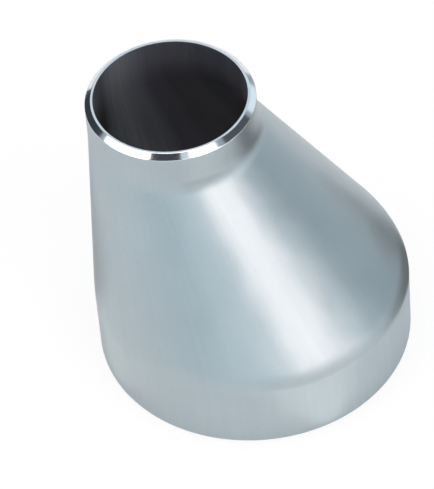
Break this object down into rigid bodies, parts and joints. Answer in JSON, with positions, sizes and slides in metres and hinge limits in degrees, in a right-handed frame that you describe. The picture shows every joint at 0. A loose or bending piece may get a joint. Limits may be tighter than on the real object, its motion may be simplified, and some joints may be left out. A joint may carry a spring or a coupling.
{
  "type": "eccentric pipe reducer",
  "caption": "Butt-weld eccentric pipe reducer: a steel shell with a flat side that narrows from a wide round end to a small round end, bevelled for welding.",
  "frame": {"origin": "centre of the large end's face, at the bottom", "axes": "+Z from the large end to the small end, along both bores; -X is the flat side, where both ends' outsides are in line, and +X is the sloping side; the XZ plane is the mirror plane"},
  "size_m": [0.108, 0.108, 0.102],
  "materials": {
    "stainless_steel": "satin, blasted and pickled outside, bright turned weld bevels, dark dull bore"
  },
  "bodies": {
    "root": {"reducer_body": "stainless_steel"}
  },
  "joints": []
}
